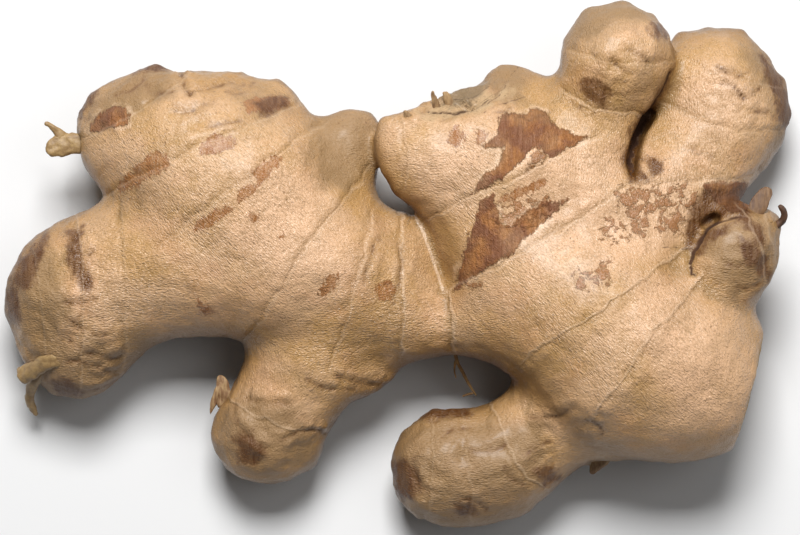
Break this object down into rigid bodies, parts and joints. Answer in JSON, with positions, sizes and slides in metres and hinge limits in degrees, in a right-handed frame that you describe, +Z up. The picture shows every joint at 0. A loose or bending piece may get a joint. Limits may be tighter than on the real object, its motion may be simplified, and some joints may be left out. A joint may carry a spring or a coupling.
{
  "type": "ginger root",
  "caption": "Fresh ginger rhizome: a flat knobbly hand of swollen fingers and buds with ring scars, lying on its side.",
  "frame": {"origin": "middle of the footprint, on the surface that the rhizome lies on", "axes": "+Z up from that surface, +X along the hand from the old left body to the cut end, +Y towards the side with the dried stem base"},
  "size_m": [0.1584, 0.1062, 0.037],
  "materials": {
    "ginger_skin": "thin tan corky skin, satin, with fine fibrous wrinkles and red-brown scale remnants"
  },
  "bodies": {
    "root": {"ginger_root": "ginger_skin"}
  },
  "joints": []
}
